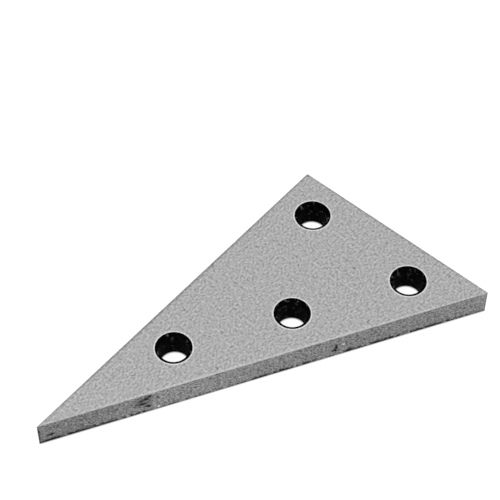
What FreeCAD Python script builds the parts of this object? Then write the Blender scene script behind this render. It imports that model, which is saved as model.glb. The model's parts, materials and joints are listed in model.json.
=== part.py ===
"""Angle plate: a hardened and ground 30-60-90 degree set-up plate with four countersunk bolt holes.

The plate lies on its underside. The right-angle corner is at -X -Y, the long leg runs along +X, the short
leg runs along +Y, and the hypotenuse, called the slope here, joins their far ends. The 30 degree tip is at
the end of the long leg and the 60 degree heel at the end of the short leg. The origin is on the underside,
at the middle of the slope, and +Z points out of the countersunk face. Millimetres and degrees.
"""

import FreeCAD, Part
import enum
import math
import os

import Sketcher

OUT_DIR = "parts"
NODE = "angle_plate"

# Driving dimensions: the sheet's alias, its value, and what it is.
SIZES = [
    ("long_leg", 127.0, "long leg of the sharp-cornered triangle, 5 inches"),
    ("tip_angle", 30.0, "angle between the long leg and the slope"),
    ("thickness", 9.525, "plate thickness, three eighths of an inch"),
    ("tip_flat", 0.2, "width of the flat ground across the tip"),
    ("corner_break", 0.3, "setback of the flats on the other two upright corners"),
    ("edge_break", 0.1, "setback of the break along every edge of both faces"),
    ("hole_diameter", 9.525, "bolt holes, three eighths of an inch"),
    ("countersink_width", 0.9, "width of the countersinks, from the hole to the rim"),
    ("underside_break", 0.15, "setback of the break round each hole on the underside"),
    ("corner_hole_inset", 12.2, "corner hole from each leg"),
    ("heel_hole_leg_inset", 12.7, "heel hole from the short leg"),
    ("heel_hole_slope_inset", 12.6, "heel hole from the slope"),
    ("tip_hole_leg_inset", 12.2, "tip hole from the long leg"),
    ("tip_hole_slope_inset", 13.3, "tip hole from the slope"),
    ("middle_hole_slope_inset", 13.2, "middle hole from the slope"),
]

COUNTERSINK_ANGLE = 120.0  # the whole cone's
SAME_PLACE = 1e-4  # two points nearer than this are one point


class On(enum.IntEnum):
    """The points of a sketch line or circle, as the sketcher numbers them."""

    START = 1
    END = 2
    CENTRE = 3


class Line(enum.IntEnum):
    """Lines that a sketch doesn't draw itself: its own origin, and outline edges brought in from outside."""

    ORIGIN = -1
    LONG_LEG = -3
    SLOPE = -4
    SHORT_LEG = -5


def make_sheet(doc):
    """Puts the driving dimensions into a spreadsheet, one row each, under their aliases."""
    sheet = doc.addObject("Spreadsheet::Sheet", "sizes")
    for row, (alias, value, meaning) in enumerate(SIZES, start=1):
        sheet.set(f"A{row}", alias)
        sheet.set(f"B{row}", str(value))
        sheet.set(f"C{row}", meaning)
        sheet.setAlias(f"B{row}", alias)
    doc.recompute()
    return sheet


def triangle_corners(sheet):
    """The sharp-cornered triangle's corner, tip and heel, with the middle of the slope at the origin."""
    half_long = sheet.long_leg / 2
    half_short = half_long * math.tan(math.radians(sheet.tip_angle))
    corner = FreeCAD.Vector(-half_long, -half_short, 0)
    tip = FreeCAD.Vector(half_long, -half_short, 0)
    heel = FreeCAD.Vector(-half_long, half_short, 0)
    return corner, tip, heel


def add_sketch(body, name):
    """A sketch on the body's own XY plane."""
    sketch = body.newObject("Sketcher::SketchObject", name)
    plane = next(feature for feature in body.Origin.OriginFeatures if feature.Role == "XY_Plane")
    sketch.AttachmentSupport = [(plane, "")]
    sketch.MapMode = "FlatFace"
    return sketch


def dimension(sketch, name, formula, *constraint):
    """Adds a named dimension to a sketch and binds it to the sheet."""
    index = sketch.addConstraint(Sketcher.Constraint(*constraint))
    sketch.renameConstraint(index, name)
    sketch.setExpression(f"Constraints.{name}", formula)


def draw_outline(body, sheet):
    """The right triangle, held by its long leg, its tip angle and the middle of its slope."""
    corner, tip, heel = triangle_corners(sheet)
    sketch = add_sketch(body, "Outline")
    long_leg = sketch.addGeometry(Part.LineSegment(corner, tip))
    slope = sketch.addGeometry(Part.LineSegment(tip, heel))
    short_leg = sketch.addGeometry(Part.LineSegment(heel, corner))
    sketch.addConstraint(
        [
            Sketcher.Constraint("Coincident", long_leg, On.END, slope, On.START),
            Sketcher.Constraint("Coincident", slope, On.END, short_leg, On.START),
            Sketcher.Constraint("Coincident", short_leg, On.END, long_leg, On.START),
            Sketcher.Constraint("Horizontal", long_leg),
            Sketcher.Constraint("Vertical", short_leg),
            Sketcher.Constraint("Symmetric", slope, On.START, slope, On.END, Line.ORIGIN, On.START),
        ]
    )
    dimension(sketch, "long_leg", "sizes.long_leg", "Distance", long_leg, sheet.long_leg)
    at_tip = ("Angle", slope, On.START, long_leg, On.END, math.radians(sheet.tip_angle))
    dimension(sketch, "tip_angle", "sizes.tip_angle * 1 deg", *at_tip)
    return sketch


def pad_outline(body, outline):
    """The blank, sawn and ground to thickness."""
    pad = body.newObject("PartDesign::Pad", "Blank")
    pad.Profile = outline
    pad.setExpression("Length", "sizes.thickness")
    return pad


def edge_names(feature, wanted):
    """The names of the feature's edges that pass the test."""
    edges = enumerate(feature.Shape.Edges, start=1)
    return [f"Edge{number}" for number, edge in edges if wanted(edge)]


def is_upright_at(edge, corner):
    """Whether the edge stands upright over that corner of the triangle."""
    return all(math.dist((v.X, v.Y), (corner.x, corner.y)) < SAME_PLACE for v in edge.Vertexes)


def is_level_at(edge, heights):
    """Whether the whole edge lies at one of those heights."""
    box = edge.BoundBox
    return any(abs(box.ZMin - z) < SAME_PLACE and abs(box.ZMax - z) < SAME_PLACE for z in heights)


def add_chamfer(body, name, base, wanted, formula):
    """An equal-sided chamfer on the base feature's edges that pass the test."""
    body.Document.recompute()
    chamfer = body.newObject("PartDesign::Chamfer", name)
    chamfer.Base = (base, edge_names(base, wanted))
    chamfer.setExpression("Size", formula)
    return chamfer


def break_upright_corners(body, blank, sheet):
    """Small flats down the upright corners: the tip's is set by its width, the others by their setback."""
    corner, tip, heel = triangle_corners(sheet)
    tip_setback = "sizes.tip_flat / 2 / sin(sizes.tip_angle * 1 deg / 2)"
    blunted = add_chamfer(body, "TipFlat", blank, lambda edge: is_upright_at(edge, tip), tip_setback)

    def is_other_corner(edge):
        return is_upright_at(edge, corner) or is_upright_at(edge, heel)

    return add_chamfer(body, "CornerBreaks", blunted, is_other_corner, "sizes.corner_break")


def break_outer_edges(body, blunted, sheet):
    """The stoned break along every outer edge of the top face and the underside."""
    faces = (0, sheet.thickness)
    return add_chamfer(body, "EdgeBreaks", blunted, lambda edge: is_level_at(edge, faces), "sizes.edge_break")


def hole_places(sheet):
    """First guesses for the hole centres: corner, heel, middle, tip. The sketch's constraints settle them."""
    corner, tip, heel = triangle_corners(sheet)
    along = FreeCAD.Vector(1, 0, 0)
    across = FreeCAD.Vector(0, 1, 0)
    corner_hole = corner + (along + across) * sheet.corner_hole_inset
    heel_hole = heel + along * sheet.heel_hole_leg_inset - across * 2 * sheet.heel_hole_slope_inset
    tip_hole = tip + across * sheet.tip_hole_leg_inset - along * 4 * sheet.tip_hole_slope_inset
    return corner_hole, heel_hole, (heel_hole + tip_hole) / 2, tip_hole


def draw_holes(body, outline, sheet):
    """Four circles on the top face, each held from the outline's own edges."""
    sketch = add_sketch(body, "HoleCentres")
    sketch.setExpression(".AttachmentOffset.Base.z", "sizes.thickness")
    body.Document.recompute()
    for number in range(1, 4):
        sketch.addExternal(outline.Name, f"Edge{number}")
    up = FreeCAD.Vector(0, 0, 1)
    places = hole_places(sheet)
    circles = [sketch.addGeometry(Part.Circle(place, up, sheet.hole_diameter / 2)) for place in places]
    corner_hole, heel_hole, middle_hole, tip_hole = circles
    for other in circles[1:]:
        sketch.addConstraint(Sketcher.Constraint("Equal", corner_hole, other))
    dimension(sketch, "hole_diameter", "sizes.hole_diameter", "Diameter", corner_hole, sheet.hole_diameter)
    for name, size, hole, line in (
        ("corner_from_long_leg", "corner_hole_inset", corner_hole, Line.LONG_LEG),
        ("corner_from_short_leg", "corner_hole_inset", corner_hole, Line.SHORT_LEG),
        ("heel_from_short_leg", "heel_hole_leg_inset", heel_hole, Line.SHORT_LEG),
        ("heel_from_slope", "heel_hole_slope_inset", heel_hole, Line.SLOPE),
        ("tip_from_long_leg", "tip_hole_leg_inset", tip_hole, Line.LONG_LEG),
        ("tip_from_slope", "tip_hole_slope_inset", tip_hole, Line.SLOPE),
        ("middle_from_slope", "middle_hole_slope_inset", middle_hole, Line.SLOPE),
    ):
        dimension(sketch, name, f"sizes.{size}", "Distance", hole, On.CENTRE, line, getattr(sheet, size))
    keep_middle_hole_midway(sketch, middle_hole, heel_hole, tip_hole)
    return sketch


def keep_middle_hole_midway(sketch, middle_hole, heel_hole, tip_hole):
    """Two construction lines of equal length hold the middle hole as far from one neighbour as the other."""
    rays = []
    for neighbour in (heel_hole, tip_hole):
        start = sketch.getPoint(middle_hole, On.CENTRE)
        end = sketch.getPoint(neighbour, On.CENTRE)
        ray = sketch.addGeometry(Part.LineSegment(start, end), True)
        sketch.addConstraint(Sketcher.Constraint("Coincident", ray, On.START, middle_hole, On.CENTRE))
        sketch.addConstraint(Sketcher.Constraint("Coincident", ray, On.END, neighbour, On.CENTRE))
        rays.append(ray)
    sketch.addConstraint(Sketcher.Constraint("Equal", *rays))


def drill_holes(body, centres):
    """Through holes, countersunk from the top face."""
    body.Document.recompute()
    holes = body.newObject("PartDesign::Hole", "BoltHoles")
    holes.Profile = centres
    body.Document.recompute()
    holes.ThreadType = "None"
    holes.DepthType = "ThroughAll"
    holes.setExpression("Diameter", "sizes.hole_diameter")
    holes.HoleCutType = "Countersink"
    holes.HoleCutCustomValues = True
    holes.HoleCutCountersinkAngle = COUNTERSINK_ANGLE
    holes.setExpression("HoleCutDiameter", "sizes.hole_diameter + 2 * sizes.countersink_width")
    return holes


def break_underside_mouths(body, holes):
    """The small break round each hole on the underside."""

    def is_mouth(edge):
        return edge.Curve.TypeId == "Part::GeomCircle" and is_level_at(edge, (0,))

    return add_chamfer(body, "UndersideBreaks", holes, is_mouth, "sizes.underside_break")


def build_plate(doc, sheet):
    """The whole plate, in the order in which it is made: ground blank, broken edges, then the holes."""
    body = doc.addObject("PartDesign::Body", "Plate")
    body.Label = NODE
    outline = draw_outline(body, sheet)
    blank = pad_outline(body, outline)
    blunted = break_upright_corners(body, blank, sheet)
    break_outer_edges(body, blunted, sheet)
    centres = draw_holes(body, outline, sheet)
    holes = drill_holes(body, centres)
    break_underside_mouths(body, holes)
    doc.recompute()
    return body


def check(doc, body):
    """Stops if any object failed, or if the plate isn't one valid solid."""
    for item in doc.Objects:
        if {"Invalid", "Error"} & set(item.State):
            raise RuntimeError(f"{item.Name} failed: {item.State}")
    shape = body.Shape
    if shape.isNull() or not shape.isValid() or len(shape.Solids) != 1:
        raise RuntimeError(f"{body.Label} isn't one valid solid")


def export(body):
    """Writes the plate's STEP file under its node's name."""
    os.makedirs(OUT_DIR, exist_ok=True)
    body.Shape.exportStep(os.path.join(OUT_DIR, f"{body.Label}.step"))


def main():
    doc = FreeCAD.newDocument("angle_plate")
    sheet = make_sheet(doc)
    plate = build_plate(doc, sheet)
    check(doc, plate)
    export(plate)
    print(f"{plate.Label}: {plate.Shape.Volume:.1f} mm3, box {plate.Shape.BoundBox}")


main()
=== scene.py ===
"""The looks of a 30-60-90 degree angle plate of hardened steel: ground all over, stoned at its edges, with
four blackened, countersunk bolt holes, lying on a pale floor.

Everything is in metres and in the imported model's own frame: +X along the long leg from the right-angle corner
to the 30 degree tip, +Y along the short leg to the 60 degree heel, +Z up out of the countersunk face, and the
origin on the underside at the middle of the hypotenuse, which is called the slope here.
"""

import json
import logging
import math
from collections.abc import Iterator
from dataclasses import dataclass, field, replace
from enum import Enum

import bmesh
import bpy
from mathutils import Euler, Matrix, Vector, noise


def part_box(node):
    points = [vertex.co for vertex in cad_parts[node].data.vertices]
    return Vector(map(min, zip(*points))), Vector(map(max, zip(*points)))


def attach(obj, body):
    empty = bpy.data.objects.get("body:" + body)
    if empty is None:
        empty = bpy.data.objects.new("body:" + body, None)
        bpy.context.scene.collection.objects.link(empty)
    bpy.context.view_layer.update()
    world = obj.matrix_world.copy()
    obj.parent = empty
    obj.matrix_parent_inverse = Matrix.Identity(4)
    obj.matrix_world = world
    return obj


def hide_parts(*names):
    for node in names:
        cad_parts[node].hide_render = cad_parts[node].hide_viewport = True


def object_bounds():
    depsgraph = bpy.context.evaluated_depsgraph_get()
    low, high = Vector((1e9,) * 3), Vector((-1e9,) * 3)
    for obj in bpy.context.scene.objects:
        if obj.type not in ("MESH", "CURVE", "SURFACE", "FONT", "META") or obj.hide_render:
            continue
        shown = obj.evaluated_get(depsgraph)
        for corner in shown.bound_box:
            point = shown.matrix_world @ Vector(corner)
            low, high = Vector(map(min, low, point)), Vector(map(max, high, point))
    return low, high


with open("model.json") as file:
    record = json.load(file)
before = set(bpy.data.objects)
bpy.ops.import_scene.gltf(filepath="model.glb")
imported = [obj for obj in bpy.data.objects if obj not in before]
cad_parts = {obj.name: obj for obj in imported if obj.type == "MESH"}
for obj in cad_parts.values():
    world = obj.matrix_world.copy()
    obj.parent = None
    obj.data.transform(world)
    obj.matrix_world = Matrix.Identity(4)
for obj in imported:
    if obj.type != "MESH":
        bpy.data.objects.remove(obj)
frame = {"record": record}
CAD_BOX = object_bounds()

logging.basicConfig(level=logging.INFO, format="%(message)s")
log = logging.getLogger("angle_plate")

MM = 0.001
NODE = "angle_plate"
BODY = "root"


class Finish(Enum):
    """The plate's finishes, in the order of its material slots."""

    GROUND_FACE = 0
    GROUND_SIDE = 1
    STONED_BREAK = 2
    BURNISHED_LIP = 3
    BLACKENED_HOLE = 4


class Surface(Enum):
    """The plate's faces that carry marks."""

    TOP = "the countersunk face"
    SLOPE = "the side along the hypotenuse"


def linear(hex_colour: str) -> tuple[float, float, float, float]:
    """Turns an sRGB colour into the linear values that shaders work in.

    Args:
        hex_colour: The colour as "#RRGGBB".

    Returns:
        Linear red, green and blue, and an alpha of 1.
    """
    channels = [int(hex_colour[i : i + 2], 16) / 255 for i in (1, 3, 5)]
    values = [c / 12.92 if c <= 0.04045 else ((c + 0.055) / 1.055) ** 2.4 for c in channels]
    return (*values, 1.0)


def add_node(
    tree: bpy.types.NodeTree, kind: str, settings: dict | None = None, inputs: dict | None = None
) -> bpy.types.Node:
    """Adds a node with its settings and links.

    Args:
        tree: The node tree that gets the node.
        kind: The node's class.
        settings: Properties of the node, by name.
        inputs: What feeds its inputs, by name or number: a plain value, or a socket to link from.

    Returns:
        The new node.
    """
    node = tree.nodes.new(kind)
    for name, value in (settings or {}).items():
        setattr(node, name, value)
    for name, value in (inputs or {}).items():
        if isinstance(value, bpy.types.NodeSocket):
            tree.links.new(value, node.inputs[name])
        else:
            node.inputs[name].default_value = value
    return node


# --- the plate's sizes ---------------------------------------------------------------------------------------


@dataclass(frozen=True)
class Hole:
    """One bolt hole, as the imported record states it."""

    centre: Vector
    radius: float


@dataclass(frozen=True)
class PlateSizes:
    """The plate's own sizes, read from the frame, with the small ones that the frame doesn't state."""

    half_long: float
    half_short: float
    thickness: float
    holes: tuple[Hole, ...]
    tip_flat: float = 0.2 * MM  # across the flat
    corner_break: float = 0.3 * MM  # from the sharp corner, along each side
    edge_break: float = 0.1 * MM
    countersink_width: float = 0.9 * MM  # from the hole to the rim
    countersink_slope: float = math.radians(30.0)  # below the top face
    underside_break: float = 0.15 * MM
    rim_round: float = 0.06 * MM  # how far a countersink's two rims are softened, to each side
    lip_width: float = 0.6 * MM  # the burnished ring round a countersink
    black_rim: float = 0.11 * MM  # how far the black laps onto that ring

    @classmethod
    def from_frame(cls) -> "PlateSizes":
        """Reads the plate's outline from its box and its holes from the record's mounts.

        Returns:
            The sizes.
        """
        low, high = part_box(NODE)
        bores = [mount for mount in frame["record"]["mounts"] if mount["kind"] == "bore"]
        holes = [Hole(Vector(bore["pos_m"][:2]), bore["dims"]["r_mm"] * MM) for bore in bores]
        return cls(half_long=-low.x, half_short=-low.y, thickness=high.z, holes=tuple(holes))

    @property
    def corner(self) -> Vector:
        """The sharp right-angle corner."""
        return Vector((-self.half_long, -self.half_short))

    @property
    def tip(self) -> Vector:
        """The sharp 30 degree corner."""
        return Vector((self.half_long, -self.half_short))

    @property
    def heel(self) -> Vector:
        """The sharp 60 degree corner."""
        return Vector((-self.half_long, self.half_short))

    def axes_of(self, surface: Surface) -> Matrix:
        """The axes that a face's marks are measured in.

        Args:
            surface: The face.

        Returns:
            The axes in the frame. On the top face, X and Y run along the two legs from the right-angle
            corner. On the slope, X runs from the tip to the heel, Y into the steel and Z up from the underside.
        """
        if surface is Surface.TOP:
            return Matrix.Translation((*self.corner, self.thickness))
        along = self.heel - self.tip
        return Matrix.Translation((*self.tip, 0.0)) @ Matrix.Rotation(math.atan2(along.y, along.x), 4, "Z")


# --- marks of use, and painted shade and highlight -----------------------------------------------------------


@dataclass(frozen=True)
class Mark:
    """A stain, nick or pit, or a patch of painted shade or highlight, as a soft-edged ellipsoid on one face, in
    millimetres on that face's axes.
    """

    surface: Surface
    across: float  # the middle, along the face's own X
    up: float  # the middle, along the face's other direction
    half_across: float
    half_up: float
    strength: float  # cover at the middle, from 0 to 1
    depth: float = 0.0  # of the bowl that it presses into the steel
    turn: float = 0.0  # degrees, in the face
    reach: float = 2.0  # the most that it goes into the steel
    broken: bool = False  # into dashes

    def axes(self, sizes: PlateSizes) -> Matrix:
        """The mark's own axes, with its middle as their origin.

        Args:
            sizes: The plate's sizes, which place the face.

        Returns:
            The axes in the frame.
        """
        if self.surface is Surface.TOP:
            own = Matrix.Translation((self.across * MM, self.up * MM, 0.0))
            return sizes.axes_of(self.surface) @ own @ Matrix.Rotation(math.radians(self.turn), 4, "Z")
        own = Matrix.Translation((self.across * MM, 0.0, self.up * MM))
        return sizes.axes_of(self.surface) @ own @ Matrix.Rotation(math.radians(self.turn), 4, "Y")

    def half_sizes(self) -> Vector:
        """The ellipsoid's half sizes. Its reach into the steel is never more than its longer half on the face.

        Returns:
            The half sizes along the mark's own axes.
        """
        into = min(self.reach, max(self.half_across, self.half_up))
        if self.surface is Surface.TOP:
            return Vector((self.half_across, self.half_up, into)) * MM
        return Vector((self.half_across, into, self.half_up)) * MM


DARK_MARKS = (
    Mark(Surface.SLOPE, 4.0, 3.4, 1.5, 0.75, 1.0, depth=0.05),  # dash of scale near the tip
    Mark(Surface.SLOPE, 33.0, 6.0, 4.2, 3.4, 0.35),  # rust bloom: its haze, and the spots in it
    Mark(Surface.SLOPE, 35.4, 8.0, 1.0, 0.85, 1.0, depth=0.05),
    Mark(Surface.SLOPE, 34.2, 7.3, 1.0, 0.9, 1.0),
    Mark(Surface.SLOPE, 32.7, 6.6, 1.4, 1.1, 0.8),
    Mark(Surface.SLOPE, 33.0, 4.9, 1.5, 0.75, 1.0, depth=0.05),
    Mark(Surface.SLOPE, 31.4, 5.3, 0.9, 0.7, 0.8),
    Mark(Surface.SLOPE, 34.7, 3.1, 1.5, 0.65, 1.0),
    Mark(Surface.SLOPE, 37.9, 6.3, 0.6, 0.6, 0.7),
    Mark(Surface.SLOPE, 24.5, 5.9, 1.4, 0.8, 0.5),  # a faint patch towards the tip
    Mark(Surface.SLOPE, 95.3, 2.9, 1.1, 0.85, 1.0, depth=0.06),  # pit in the far half, with a crooked tail
    Mark(Surface.SLOPE, 95.9, 4.4, 0.6, 1.2, 1.0),
    Mark(Surface.SLOPE, 95.7, 5.9, 0.5, 0.6, 0.7),
    Mark(Surface.SLOPE, 90.3, 8.5, 0.6, 0.5, 0.6),  # spots under the upper edge
    Mark(Surface.SLOPE, 86.5, 8.9, 0.7, 0.4, 0.5),
    Mark(Surface.SLOPE, 57.0, 9.2, 1.6, 0.35, 0.6),
    Mark(Surface.SLOPE, 103.9, 3.8, 0.4, 0.6, 0.5),
    Mark(Surface.TOP, 76.2, 27.1, 0.5, 0.5, 0.7),  # specks on the top face
    Mark(Surface.TOP, 19.9, 35.6, 0.45, 0.45, 0.7),
    Mark(Surface.TOP, 0.5, 0.7, 0.5, 0.5, 0.7),
    Mark(Surface.SLOPE, 4.4, 0.0, 4.6, 1.7, 1.0),  # painted shade along the foot, thickest near the tip, for the contact shadow under the slope
    Mark(Surface.SLOPE, 14.0, 0.0, 5.0, 1.2, 0.9),
    Mark(Surface.SLOPE, 22.0, 0.0, 3.0, 1.2, 0.9),
    Mark(Surface.SLOPE, 15.0, 0.0, 19.0, 1.9, 1.0, broken=True),
    Mark(Surface.SLOPE, 30.0, 0.0, 7.0, 1.6, 1.0, broken=True),
    Mark(Surface.SLOPE, 50.0, 0.0, 16.0, 0.9, 0.9, broken=True),
    Mark(Surface.SLOPE, 80.0, 0.0, 22.0, 1.5, 1.0, broken=True),
    Mark(Surface.SLOPE, 79.0, 0.2, 1.6, 1.2, 0.95),
    Mark(Surface.SLOPE, 100.0, 0.5, 1.7, 1.4, 1.0),
    Mark(Surface.SLOPE, 103.4, 0.5, 0.9, 0.8, 0.9),
    Mark(Surface.SLOPE, 109.7, 0.5, 1.4, 1.2, 1.0),
    Mark(Surface.SLOPE, 120.0, 0.0, 30.0, 1.6, 1.0, broken=True),
    Mark(Surface.SLOPE, 0.3, 4.7, 0.55, 9.0, 0.9),  # painted shade on the tip's end, which turns away from the light
    Mark(Surface.SLOPE, 146.5, 4.7, 0.5, 9.0, 0.7),  # and on the heel's end
    Mark(Surface.SLOPE, 6.0, 4.7, 22.0, 20.0, 0.24, reach=0.5),  # darker towards the tip and towards the heel
    Mark(Surface.SLOPE, 112.0, 4.7, 40.0, 20.0, 0.15, reach=0.5),
    Mark(Surface.TOP, 63.0, 0.2, 80.0, 0.7, 0.35, reach=0.5),  # the top face darker along its borders at the two legs
    Mark(Surface.TOP, 0.2, 36.0, 0.6, 46.0, 0.25, reach=0.5),
)

BRIGHT_MARKS = (
    Mark(Surface.SLOPE, 38.1, 1.1, 0.38, 0.75, 0.8, depth=0.1),  # fresh nick in the lower edge
    Mark(Surface.SLOPE, 98.2, 4.9, 0.6, 0.6, 0.7),  # rubbed spot beside the pit
    Mark(Surface.TOP, 63.5, 36.4, 90.0, 0.6, 0.3, turn=150.0, reach=0.5),  # painted highlight along the top face's border at the slope, where the edge catches the light
)


# --- the plate's mesh ----------------------------------------------------------------------------------------


@dataclass(frozen=True)
class WallRow:
    """One ring of the side walls: a height, and where it lies in the rounded break, as shares of its size."""

    height: float
    finish: Finish
    inset: float = 0.0
    rise: float = 0.0


@dataclass
class PlateMesh:
    """The plate as one closed mesh: side walls with rounded breaks, two flat faces and four holes."""

    sizes: PlateSizes
    column_step: float = 0.4 * MM
    break_steps: int = 4
    hole_sides: int = 112
    hole_rows: int = 14
    wear_length: float = 3.0 * MM
    wear_depth: float = 0.02 * MM  # kept small, so that the narrow flat at the tip doesn't fold over
    fine_wear: float = 3.1  # how many times shorter the finer waves of wear are
    fine_wear_share: float = 0.5
    sharp_turn: float = math.radians(32.0)  # edges that turn more than this are shaded as sharp
    mesh: bmesh.types.BMesh = field(default_factory=bmesh.new)

    def upright_corners(self, inset: float) -> list[Vector]:
        """The outline's six corners, two for each flat, moved inwards.

        Args:
            inset: How far every side of the outline moves inwards.

        Returns:
            The corners, counter-clockwise, from the start of the long leg.
        """
        s = self.sizes
        sharp = [s.corner, s.tip, s.heel]
        half_tip_angle = math.atan2(s.half_short, s.half_long) / 2
        setbacks = [s.corner_break, s.tip_flat / 2 / math.sin(half_tip_angle), s.corner_break]
        outline = []
        for i, (here, setback) in enumerate(zip(sharp, setbacks)):
            back = (sharp[i - 1] - here).normalized()
            ahead = (sharp[(i + 1) % 3] - here).normalized()
            outline += [here + back * setback, here + ahead * setback]
        return self.moved_inwards(outline[1:] + outline[:1], inset)

    @staticmethod
    def moved_inwards(outline: list[Vector], inset: float) -> list[Vector]:
        """Moves every side of an outline inwards by the same distance.

        Args:
            outline: Its corners, counter-clockwise.
            inset: The distance.

        Returns:
            The moved corners, in the same order.
        """
        moved = []
        for i, here in enumerate(outline):
            before = (here - outline[i - 1]).normalized()
            after = (outline[(i + 1) % len(outline)] - here).normalized()
            in_before = Vector((-before.y, before.x))
            in_after = Vector((-after.y, after.x))
            moved.append(here + (in_before + in_after) * (inset / (1 + in_before.dot(in_after))))
        return moved

    def ring_places(self, inset: float) -> list[Vector]:
        """Points all round the outline, as many at every inset.

        Args:
            inset: How far the outline moves inwards.

        Returns:
            The points, counter-clockwise, from the start of the long leg.
        """
        corners = self.upright_corners(inset)
        reference = self.upright_corners(0.0)
        places = []
        for i, start in enumerate(corners):
            after = (i + 1) % len(corners)
            count = max(2, round((reference[after] - reference[i]).length / self.column_step))
            places += [start.lerp(corners[after], k / count) for k in range(count)]
        return places

    def wall_rows(self) -> Iterator[WallRow]:
        """The rings of the side walls, from the top face down.

        Yields:
            Each ring, with the finish of the band above it.
        """
        s = self.sizes
        turns = [math.pi / 2 * k / self.break_steps for k in range(self.break_steps + 1)]
        for turn in turns:
            yield WallRow(s.thickness, Finish.STONED_BREAK, 1 - math.sin(turn), math.cos(turn) - 1)
        straight = s.thickness - 2 * s.edge_break
        count = round(straight / self.column_step)
        for k in range(1, count):
            yield WallRow(s.thickness - s.edge_break - straight * k / count, Finish.GROUND_SIDE)
        yield WallRow(0.0, Finish.GROUND_SIDE, rise=1.0)
        for turn in turns[1:]:
            yield WallRow(0.0, Finish.STONED_BREAK, 1 - math.cos(turn), 1 - math.sin(turn))

    def wear(self, place: Vector) -> float:
        """How much wider the break is at a place, where knocks and the stone have worn it.

        Args:
            place: The place on the outline.

        Returns:
            The width to add to the break.
        """
        coarse = noise.noise(place / self.wear_length)
        fine = noise.noise(place / self.wear_length * self.fine_wear)
        return self.wear_depth * max(0.0, coarse + self.fine_wear_share * fine)

    def press_pits(self) -> None:
        """Presses the slope's deep marks into it, each as a shallow bowl."""
        inward = self.sizes.axes_of(Surface.SLOPE).col[1].to_3d()
        for mark in DARK_MARKS + BRIGHT_MARKS:
            if not mark.depth:
                continue
            to_own = (mark.axes(self.sizes) @ Matrix.Diagonal((*mark.half_sizes(), 1.0))).inverted()
            for vertex in self.mesh.verts:
                reach = (to_own @ vertex.co).length
                if reach < 1.0:
                    vertex.co += inward * (mark.depth * MM * (1.0 - reach * reach))

    def add_wall(self) -> tuple[list[bmesh.types.BMVert], list[bmesh.types.BMVert]]:
        """Builds the side walls and their breaks.

        Returns:
            The topmost and the lowest ring of vertices, which bound the two faces.
        """
        outer = self.ring_places(0.0)
        inner = self.ring_places(self.sizes.edge_break)
        inward = [(b - a) / self.sizes.edge_break for a, b in zip(outer, inner)]
        rows = list(self.wall_rows())
        rings = []
        for row in rows:
            ring = []
            for place, way in zip(outer, inward):
                size = self.sizes.edge_break + self.wear(Vector((*place, row.height)))
                spot = place + way * (size * row.inset)
                ring.append(self.mesh.verts.new((*spot, row.height + size * row.rise)))
            rings.append(ring)
        for upper, lower, row in zip(rings, rings[1:], rows[1:]):
            self.bridge(upper, lower, row.finish)
        return rings[0], rings[-1]

    def bridge(self, upper: list[bmesh.types.BMVert], lower: list[bmesh.types.BMVert], finish: Finish) -> None:
        """Joins two rings with a band of faces that look away from the steel.

        Args:
            upper: The upper ring.
            lower: The lower ring, of as many vertices.
            finish: The band's finish.
        """
        for i, here in enumerate(upper):
            after = (i + 1) % len(upper)
            face = self.mesh.faces.new((here, lower[i], lower[after], upper[after]))
            face.material_index = finish.value
            face.smooth = True

    def hole_profile(self, hole: Hole) -> list[tuple[float, float, Finish]]:
        """A hole's rings, from the top face down. The rims of its countersink are a little rounded.

        Args:
            hole: The hole.

        Returns:
            Each ring's radius and height, and the finish of the band above it.
        """
        s = self.sizes
        fall = math.tan(s.countersink_slope)
        mouth = hole.radius + s.countersink_width
        seat = s.thickness - s.countersink_width * fall
        soft = s.rim_round
        sag = soft * fall / 3  # a third of the way down, which rounds the rim
        profile = [
            (mouth + s.lip_width, s.thickness, Finish.BURNISHED_LIP),
            (mouth + s.black_rim + soft, s.thickness, Finish.BURNISHED_LIP),
            (mouth + soft, s.thickness, Finish.BLACKENED_HOLE),
            (mouth, s.thickness - sag, Finish.BLACKENED_HOLE),
            (mouth - soft, s.thickness - soft * fall, Finish.BLACKENED_HOLE),
            (hole.radius + soft, seat + soft * fall, Finish.BLACKENED_HOLE),
            (hole.radius, seat - soft, Finish.BLACKENED_HOLE),
        ]
        depth = seat - soft - s.underside_break
        for k in range(1, self.hole_rows + 1):
            profile.append((hole.radius, seat - soft - depth * k / self.hole_rows, Finish.BLACKENED_HOLE))
        profile.append((hole.radius + s.underside_break, 0.0, Finish.BLACKENED_HOLE))
        return profile

    def add_hole(self, hole: Hole) -> tuple[list[bmesh.types.BMVert], list[bmesh.types.BMVert]]:
        """Builds one hole's wall, countersink and lip.

        Args:
            hole: The hole.

        Returns:
            Its topmost and its lowest ring of vertices.
        """
        turns = [-2 * math.pi * k / self.hole_sides for k in range(self.hole_sides)]
        rings = []
        profile = self.hole_profile(hole)
        for radius, height, _ in profile:
            spots = [hole.centre + Vector((math.cos(turn), math.sin(turn))) * radius for turn in turns]
            rings.append([self.mesh.verts.new((*spot, height)) for spot in spots])
        for upper, lower, (_, _, finish) in zip(rings, rings[1:], profile[1:]):
            self.bridge(upper, lower, finish)
        return rings[0], rings[-1]

    def fill(self, loops: list[list[bmesh.types.BMVert]], upwards: bool) -> None:
        """Fills a flat face between its outer loop and the holes' loops.

        Args:
            loops: The rings of vertices that bound the face.
            upwards: Whether the face looks up.
        """
        edges = []
        for loop in loops:
            edges += [self.mesh.edges.get((a, b)) for a, b in zip(loop, loop[1:] + loop[:1])]
        made = bmesh.ops.triangle_fill(self.mesh, edges=edges, use_beauty=True)
        for item in made["geom"]:
            if isinstance(item, bmesh.types.BMFace):
                item.material_index = Finish.GROUND_FACE.value
                item.smooth = False
                if (item.normal.z > 0) != upwards:
                    item.normal_flip()

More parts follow.
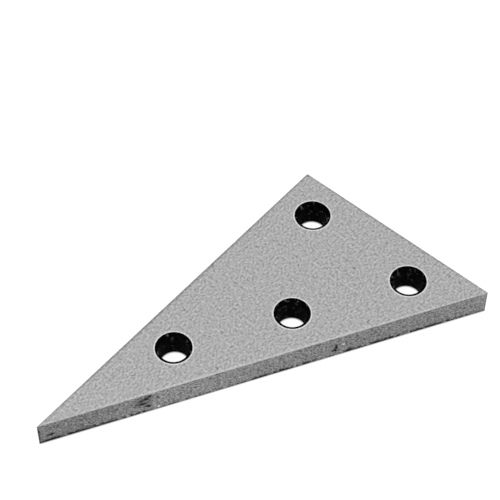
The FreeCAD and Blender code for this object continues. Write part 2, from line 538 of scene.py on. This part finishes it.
    def build(self) -> bpy.types.Object:
        """Builds the whole plate.

        Returns:
            The plate as an object, with no material yet.
        """
        outer_top, outer_low = self.add_wall()
        self.press_pits()
        hole_rings = [self.add_hole(hole) for hole in self.sizes.holes]
        self.fill([outer_top] + [top for top, _ in hole_rings], upwards=True)
        self.fill([outer_low] + [low for _, low in hole_rings], upwards=False)
        self.mesh.normal_update()
        for edge in self.mesh.edges:
            edge.smooth = edge.calc_face_angle(math.pi) <= self.sharp_turn
        data = bpy.data.meshes.new("plate")
        self.mesh.to_mesh(data)
        self.mesh.free()
        plate = bpy.data.objects.new("plate", data)
        bpy.context.scene.collection.objects.link(plate)
        return plate


# --- the plate's finishes ------------------------------------------------------------------------------------


@dataclass(frozen=True)
class Specks:
    """Small specks strewn over a finish, where a noise rises above a level."""

    tone: str
    size: float  # millimetres
    cover: float  # how much of the colour under them they hide
    rareness: float = 0.66  # the noise's level at which they start
    edge: float = 0.1  # how far above that level they are whole

    def add(
        self, tree: bpy.types.NodeTree, place: bpy.types.NodeSocket, colour: bpy.types.NodeSocket
    ) -> bpy.types.NodeSocket:
        """Strews the specks.

        Args:
            tree: The material's nodes.
            place: Object coordinates.
            colour: The colour under the specks.

        Returns:
            The colour with the specks.
        """
        strewn = {"Vector": place, "Scale": 1 / (self.size * MM), "Detail": 1.0}
        level = add_node(tree, "ShaderNodeTexNoise", None, strewn).outputs[0]
        whole = self.rareness + self.edge
        rise = {"Value": level, "From Min": self.rareness, "From Max": whole, "To Max": self.cover}
        cover = add_node(tree, "ShaderNodeMapRange", None, rise).outputs[0]
        tones = {"Factor": cover, "A": colour, "B": linear(self.tone)}
        return add_node(tree, "ShaderNodeMix", {"data_type": "RGBA"}, tones).outputs["Result"]


@dataclass(frozen=True)
class Raggedness:
    """How uneven the marks are: their outlines are pushed about, and the long ones are broken into dashes."""

    crumb: float = 0.7 * MM  # size of the waves in an outline
    push: float = 1.6 * MM  # how far an outline can move, from one extreme to the other
    gap: float = 1.3 * MM  # size of the gaps in a broken mark
    gap_levels: tuple[float, float] = (0.43, 0.51)  # the noise at which it is gone, and whole

    def outlines(self, tree: bpy.types.NodeTree, place: bpy.types.NodeSocket) -> bpy.types.NodeSocket:
        """Pushes about the places at which the marks are looked up, which makes their outlines ragged.

        Args:
            tree: The material's nodes.
            place: Object coordinates.

        Returns:
            The pushed coordinates.
        """
        crumbs = {"Vector": place, "Scale": 1 / self.crumb, "Detail": 2.0}
        pushes = add_node(tree, "ShaderNodeTexNoise", None, crumbs).outputs["Color"]
        centred = add_node(tree, "ShaderNodeVectorMath", {"operation": "SUBTRACT"}, {0: pushes, 1: (0.5,) * 3})
        shifts = {0: centred.outputs[0], 1: (self.push,) * 3, 2: place}
        return add_node(tree, "ShaderNodeVectorMath", {"operation": "MULTIPLY_ADD"}, shifts).outputs[0]

    def dashes(self, tree: bpy.types.NodeTree, place: bpy.types.NodeSocket) -> bpy.types.NodeSocket:
        """Noise that breaks a long mark up.

        Args:
            tree: The material's nodes.
            place: Object coordinates.

        Returns:
            A socket that is 0 in the gaps and 1 in the dashes.
        """
        gaps = {"Vector": place, "Scale": 1 / self.gap, "Detail": 2.0}
        level = add_node(tree, "ShaderNodeTexNoise", None, gaps).outputs[0]
        gone, whole = self.gap_levels
        spread = {"Value": level, "From Min": gone, "From Max": whole}
        return add_node(tree, "ShaderNodeMapRange", None, spread).outputs[0]


@dataclass(frozen=True)
class MarkLayer:
    """Marks of one tone. Each is whole near its middle and gone a little outside its ellipsoid."""

    marks: tuple[Mark, ...]
    tone: str
    whole: float = 0.55  # how far from the middle, in half sizes
    gone: float = 1.25

    def on(self, surfaces: tuple[Surface, ...]) -> "MarkLayer":
        """The layer with only the marks that lie on some faces."""
        return replace(self, marks=tuple(mark for mark in self.marks if mark.surface in surfaces))

    def add(
        self,
        tree: bpy.types.NodeTree,
        ragged: bpy.types.NodeSocket,
        dashes: bpy.types.NodeSocket,
        colour: bpy.types.NodeSocket,
        sizes: PlateSizes,
    ) -> bpy.types.NodeSocket:
        """Lays the marks over a colour.

        Args:
            tree: The material's nodes.
            ragged: Object coordinates that fine noise has pushed about.
            dashes: Noise that breaks a long mark up.
            colour: The colour under the marks.
            sizes: The plate's sizes, which place the marks.

        Returns:
            The marked colour.
        """
        cover = None
        for mark in self.marks:
            spot = self.cover_of(tree, ragged, mark, sizes)
            if mark.broken:
                broken = {0: spot, 1: dashes}
                spot = add_node(tree, "ShaderNodeMath", {"operation": "MULTIPLY"}, broken).outputs[0]
            if cover is not None:
                both = {0: cover, 1: spot}
                spot = add_node(tree, "ShaderNodeMath", {"operation": "MAXIMUM"}, both).outputs[0]
            cover = spot
        if cover is None:
            return colour
        tones = {"Factor": cover, "A": colour, "B": linear(self.tone)}
        return add_node(tree, "ShaderNodeMix", {"data_type": "RGBA"}, tones).outputs["Result"]

    def cover_of(
        self, tree: bpy.types.NodeTree, ragged: bpy.types.NodeSocket, mark: Mark, sizes: PlateSizes
    ) -> bpy.types.NodeSocket:
        """One mark's cover.

        Args:
            tree: The material's nodes.
            ragged: Object coordinates that fine noise has pushed about.
            mark: The mark.
            sizes: The plate's sizes, which place it.

        Returns:
            A socket that is the mark's strength near its middle and 0 outside it.
        """
        axes = mark.axes(sizes)
        placing = {
            "Vector": ragged,
            "Location": axes.translation,
            "Rotation": axes.to_euler(),
            "Scale": mark.half_sizes(),
        }
        local = add_node(tree, "ShaderNodeMapping", {"vector_type": "TEXTURE"}, placing).outputs[0]
        reach = add_node(tree, "ShaderNodeVectorMath", {"operation": "LENGTH"}, {0: local}).outputs["Value"]
        fade = {"Value": reach, "From Min": self.gone, "From Max": self.whole, "To Max": mark.strength}
        return add_node(tree, "ShaderNodeMapRange", None, fade).outputs[0]


# stains, and painted shade along the foot and on the ends; rubbed spots, and a painted highlight along the
# slope's top border
STAINS_AND_PAINTED_SHADE = MarkLayer(DARK_MARKS, "#0A0A0A")
RUBBED_SPOTS_AND_PAINTED_HIGHLIGHT = MarkLayer(BRIGHT_MARKS, "#E4E4E4")


@dataclass(frozen=True)
class Steel:
    """Hardened tool steel, as one finish of it looks."""

    name: str
    dark: str
    light: str
    grain: float  # millimetres
    roughness: tuple[float, float]  # of the light grains, and of the dark ones
    contrast: float = 0.5  # the noise's span from the dark tone to the light one: more is softer
    lay: tuple[float, float, float] = (1.0, 1.0, 1.0)  # along X, Y and Z: under 1 draws the grain out
    relief: float = 0.0  # millimetres
    metallic: float = 1.0
    specular: float = 0.5
    specks: Specks | None = None
    marked: tuple[Surface, ...] = ()

    def build(self, sizes: PlateSizes) -> bpy.types.Material:
        """Builds the finish as a material.

        Args:
            sizes: The plate's sizes, which place the marks.

        Returns:
            The material.
        """
        material = bpy.data.materials.new(self.name)
        material.use_nodes = True
        tree = material.node_tree
        tree.nodes.clear()
        place = add_node(tree, "ShaderNodeTexCoord").outputs["Object"]
        grain = self.add_grain(tree, place)
        tones = {"Factor": grain, "A": linear(self.dark), "B": linear(self.light)}
        colour = add_node(tree, "ShaderNodeMix", {"data_type": "RGBA"}, tones).outputs["Result"]
        if self.specks:
            colour = self.specks.add(tree, place, colour)
        if self.marked:
            colour = self.add_marks(tree, place, colour, sizes)
        gloss = {"Value": grain, "To Min": self.roughness[1], "To Max": self.roughness[0]}
        roughness = add_node(tree, "ShaderNodeMapRange", None, gloss).outputs[0]
        relief = {"Distance": self.relief * MM, "Height": grain}
        finish = {
            "Base Color": colour,
            "Metallic": self.metallic,
            "Roughness": roughness,
            "Specular IOR Level": self.specular,
            "Normal": add_node(tree, "ShaderNodeBump", None, relief).outputs["Normal"],
        }
        shader = add_node(tree, "ShaderNodeBsdfPrincipled", None, finish)
        add_node(tree, "ShaderNodeOutputMaterial", None, {"Surface": shader.outputs["BSDF"]})
        return material

    def add_grain(self, tree: bpy.types.NodeTree, place: bpy.types.NodeSocket) -> bpy.types.NodeSocket:
        """Mottled grain, drawn out along the lay of the grinding.

        Args:
            tree: The material's nodes.
            place: Object coordinates.

        Returns:
            A socket that runs from 0 in the dark grains to 1 in the light ones.
        """
        drawn = add_node(tree, "ShaderNodeMapping", None, {"Vector": place, "Scale": self.lay}).outputs[0]
        mottle = {"Vector": drawn, "Scale": 1 / (self.grain * MM), "Detail": 0.0}
        texture = add_node(tree, "ShaderNodeTexNoise", None, mottle)
        half = self.contrast / 2
        spread = {"Value": texture.outputs[0], "From Min": 0.5 - half, "From Max": 0.5 + half}
        return add_node(tree, "ShaderNodeMapRange", None, spread).outputs[0]

    def add_marks(
        self,
        tree: bpy.types.NodeTree,
        place: bpy.types.NodeSocket,
        colour: bpy.types.NodeSocket,
        sizes: PlateSizes,
    ) -> bpy.types.NodeSocket:
        """Lays the stains and painted shade, and then the rubbed spots and painted highlight, of this finish's
        faces over its colour.

        Args:
            tree: The material's nodes.
            place: Object coordinates.
            colour: The steel's own colour.
            sizes: The plate's sizes, which place the marks.

        Returns:
            The marked colour.
        """
        raggedness = Raggedness()
        ragged = raggedness.outlines(tree, place)
        dashes = raggedness.dashes(tree, place)
        for layer in (STAINS_AND_PAINTED_SHADE, RUBBED_SPOTS_AND_PAINTED_HIGHLIGHT):
            colour = layer.on(self.marked).add(tree, ragged, dashes, colour, sizes)
        return colour


FINISHES = {
    # Surface ground with a fine wheel: a matt, even grey with a fine mottle from the wheel's short scratches.
    # They are some 0.05 mm apart, too fine to show, so the mottle is drawn at 0.68 mm.
    Finish.GROUND_FACE: Steel(
        "surface_ground_tool_steel",
        "#8C8C8C",
        "#C9C9C9",
        grain=0.68,
        roughness=(0.42, 0.56),
        contrast=0.8,
        lay=(0.8, 1.0, 1.0),
        relief=0.02,
        specks=Specks("#303030", size=1.1, cover=0.4),
        marked=(Surface.TOP,),
    ),
    # Sides ground with a coarser wheel, more mottled than the faces. Their darker tone is painted shade, for
    # the lesser light on the upright sides. The wheel's scratches are some 0.1 mm apart, and are drawn at 0.6
    # mm to show.
    Finish.GROUND_SIDE: Steel(
        "side_ground_tool_steel_painted_shade",
        "#474747",
        "#B2B2B2",
        grain=0.6,
        roughness=(0.48, 0.62),
        contrast=0.77,
        relief=0.03,
        specks=Specks("#303030", size=1.1, cover=0.6),
        marked=(Surface.SLOPE,),
    ),
    # Edges drawn along a fine oilstone: a hair of smoother metal. Its tone, darker than the faces beside it, is
    # partly painted shade, for breaks that turn away from the light. The stone's scratches are some 0.02 mm
    # apart, and the 0.8 mm mottle stands for its uneven strokes.
    Finish.STONED_BREAK: Steel(
        "oilstoned_tool_steel_painted_shade",
        "#5A5A5A",
        "#969696",
        grain=0.8,
        roughness=(0.34, 0.46),
        relief=0.01,
        marked=tuple(Surface),
    ),
    # The lip that the countersink's cutter burnished: a thin pale ring. The cutter's own rings are finer than
    # 0.05 mm, and a 0.5 mm mottle shows instead.
    Finish.BURNISHED_LIP: Steel(
        "burnished_tool_steel", "#C4C4C4", "#E8E8E8", grain=0.5, roughness=(0.36, 0.44), relief=0.005
    ),
    # Holes left as they came from heat treatment: dull black oxide, which swallows the light. Its greyer flecks
    # of 1 to 2 mm are painted glints, for the light that the bore walls throw back.
    Finish.BLACKENED_HOLE: Steel(
        "black_oxide_tool_steel_painted_glints",
        "#000000",
        "#070707",
        grain=1.2,
        roughness=(0.55, 0.7),
        relief=0.02,
        metallic=0.0,
        specular=0.01,
        # painted glints on the black oxide
        specks=Specks("#505050", size=1.6, cover=1.0, rareness=0.61),
    ),
}


@dataclass
class AnglePlate:
    """The dressed plate."""

    sizes: PlateSizes

    def build(self) -> bpy.types.Object:
        """Builds the plate's mesh, gives it its finishes, and puts it in the frame.

        Returns:
            The plate.
        """
        plate = PlateMesh(self.sizes).build()
        for finish in Finish:
            plate.data.materials.append(FINISHES[finish].build(self.sizes))
        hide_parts(NODE)
        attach(plate, BODY)
        return plate


# --- the studio ----------------------------------------------------------------------------------------------


def add_seen(tree: bpy.types.NodeTree) -> bpy.types.NodeSocket:
    """Tells what is seen, straight, mirrored or through glass, from what only lights.

    Args:
        tree: The node tree that asks.

    Returns:
        A socket that is 1 for what is seen and 0 for what only lights.
    """
    path = add_node(tree, "ShaderNodeLightPath")
    seen = path.outputs["Is Camera Ray"]
    for name in ("Is Glossy Ray", "Is Transmission Ray"):
        more = {0: seen, 1: path.outputs[name]}
        seen = add_node(tree, "ShaderNodeMath", {"operation": "MAXIMUM"}, more).outputs[0]
    return seen


@dataclass(frozen=True)
class Lamp:
    """A square softbox that looks at the plate."""

    name: str
    azimuth: float
    elevation: float
    distance: float
    side: float
    power: float

    def build(self) -> bpy.types.Object:
        """Builds the lamp, aimed at the frame's origin.

        Returns:
            The lamp.
        """
        data = bpy.data.lights.new(self.name, "AREA")
        data.size = self.side
        data.energy = self.power
        lamp = bpy.data.objects.new(self.name, data)
        turn = Euler((0.0, -math.radians(self.elevation), math.radians(self.azimuth)))
        lamp.location = turn.to_matrix() @ Vector((self.distance, 0.0, 0.0))
        lamp.rotation_euler = (-lamp.location).to_track_quat("-Z", "Y").to_euler()
        bpy.context.scene.collection.objects.link(lamp)
        return lamp


@dataclass
class Studio:
    """A white floor, a white surround and soft lamps."""

    paper: str = "#F0F0F0"
    floor_side: float = 6.0
    floor_drop: float = 0.02 * MM  # below the plate's underside, so that the two don't fight
    floor_glow: float = 0.93  # of the paper where it is seen
    floor_share: float = 0.25  # how much of the lamps' light it adds to that, which keeps the shadow
    contact_shadow_reach: float = 0.55 * MM  # how near the plate the painted contact shadow reaches
    contact_shadow_glow: float = 0.2  # the glow in that painted shadow, against the plate
    contact_shadow_levels: tuple[float, float] = (0.5, 0.95)  # the openness where it is dimmest, and where plain
    surround: float = 0.5  # strength of the surround's light
    lamps: tuple[Lamp, ...] = (
        Lamp("key_softbox", azimuth=-10.0, elevation=58.0, distance=1.5, side=0.9, power=6.0),
        Lamp("fill_softbox", azimuth=95.0, elevation=40.0, distance=1.8, side=1.2, power=3.0),
    )

    def build(self) -> None:
        """Builds the floor, the world and the lamps."""
        floor = self.add_floor()
        log.info("%s: %.0f m wide", floor.name, self.floor_side)
        self.add_world()
        for lamp in self.lamps:
            lamp.build()
            log.info("%s: %.1f W", lamp.name, lamp.power)

    def add_floor(self) -> bpy.types.Object:
        """Lays a wide sheet of white paper under the plate.

        Returns:
            The sheet.
        """
        half = self.floor_side / 2
        corners = [(-half, -half, 0), (half, -half, 0), (half, half, 0), (-half, half, 0)]
        data = bpy.data.meshes.new("floor")
        data.from_pydata(corners, [], [(0, 1, 2, 3)])
        data.materials.append(self.floor_paper())
        floor = bpy.data.objects.new("floor", data)
        floor.location.z = CAD_BOX[0].z - self.floor_drop
        bpy.context.scene.collection.objects.link(floor)
        return floor

    def floor_paper(self) -> bpy.types.Material:
        """White paper: plain to the lamps, and mostly glow to the eye, with a painted contact shadow that dims
        the glow right against the plate.

        Returns:
            The paper's material.
        """
        material = bpy.data.materials.new("white_paper")
        material.use_nodes = True
        tree = material.node_tree
        tree.nodes.clear()
        plain = add_node(tree, "ShaderNodeBsdfDiffuse", None, {"Color": linear(self.paper)})
        dim = add_node(tree, "ShaderNodeBsdfDiffuse", None, {"Color": (*(self.floor_share,) * 3, 1.0)})
        reach = {"Distance": self.contact_shadow_reach}
        # painted contact shadow: ambient occlusion dims the paper's glow next to the plate
        openness = add_node(tree, "ShaderNodeAmbientOcclusion", {"samples": 8}, reach).outputs["AO"]
        dimmest, undimmed = self.contact_shadow_levels
        contact = {"Value": openness, "From Min": dimmest, "From Max": undimmed}
        glows = {"To Min": self.contact_shadow_glow, "To Max": self.floor_glow}
        strength = add_node(tree, "ShaderNodeMapRange", None, contact | glows).outputs[0]
        glow = add_node(tree, "ShaderNodeEmission", None, {"Strength": strength})
        shown = add_node(tree, "ShaderNodeAddShader", None, {0: dim.outputs[0], 1: glow.outputs[0]})
        either = {0: add_seen(tree), 1: plain.outputs[0], 2: shown.outputs[0]}
        mixed = add_node(tree, "ShaderNodeMixShader", None, either)
        add_node(tree, "ShaderNodeOutputMaterial", None, {"Surface": mixed.outputs[0]})
        return material

    def add_world(self) -> None:
        """A white surround: full white where it is seen, dimmer where it only lights."""
        world = bpy.data.worlds.new("surround")
        bpy.context.scene.world = world
        world.use_nodes = True
        tree = world.node_tree
        tree.nodes.clear()
        levels = {"Value": add_seen(tree), "To Min": self.surround, "To Max": 1.0}
        strength = add_node(tree, "ShaderNodeMapRange", None, levels).outputs[0]
        light = add_node(tree, "ShaderNodeBackground", None, {"Color": linear("#FFFFFF"), "Strength": strength})
        add_node(tree, "ShaderNodeOutputWorld", None, {"Surface": light.outputs[0]})


@dataclass
class Viewpoint:
    """A long lens that looks down on the slope's side of the plate. Azimuth 0 would look along +Y."""

    azimuth: float = 130.316
    elevation: float = 53.70
    roll: float = 0.1925
    distance: float = 586.3 * MM
    lens: float = 132.77
    aim: tuple[float, float] = (-27.68 * MM, -30.83 * MM)

    def build(self, sizes: PlateSizes) -> bpy.types.Object:
        """Builds the camera, aimed at a point of the top face, and makes it the scene's.

        Args:
            sizes: The plate's sizes, for the height of its top face.

        Returns:
            The camera.
        """
        tilt = Matrix.Rotation(math.radians(90 - self.elevation), 4, "X")
        turn = Matrix.Rotation(math.radians(self.azimuth), 4, "Z") @ tilt
        turn = turn @ Matrix.Rotation(math.radians(self.roll), 4, "Z")
        back = turn.to_3x3() @ Vector((0.0, 0.0, self.distance))
        data = bpy.data.cameras.new("camera")
        data.lens = self.lens
        data.clip_start = 0.01
        camera = bpy.data.objects.new("camera", data)
        camera.matrix_world = Matrix.Translation(Vector((*self.aim, sizes.thickness)) + back) @ turn
        bpy.context.scene.collection.objects.link(camera)
        bpy.context.scene.camera = camera
        return camera


def main() -> None:
    """Builds the camera, the plate and the studio, in that order."""
    bpy.context.scene.view_settings.view_transform = "Standard"
    sizes = PlateSizes.from_frame()
    Viewpoint().build(sizes)
    plate = AnglePlate(sizes).build()
    log.info("%s: %d faces, %d finishes", plate.name, len(plate.data.polygons), len(plate.data.materials))
    Studio().build()


if __name__ == "__main__":
    main()
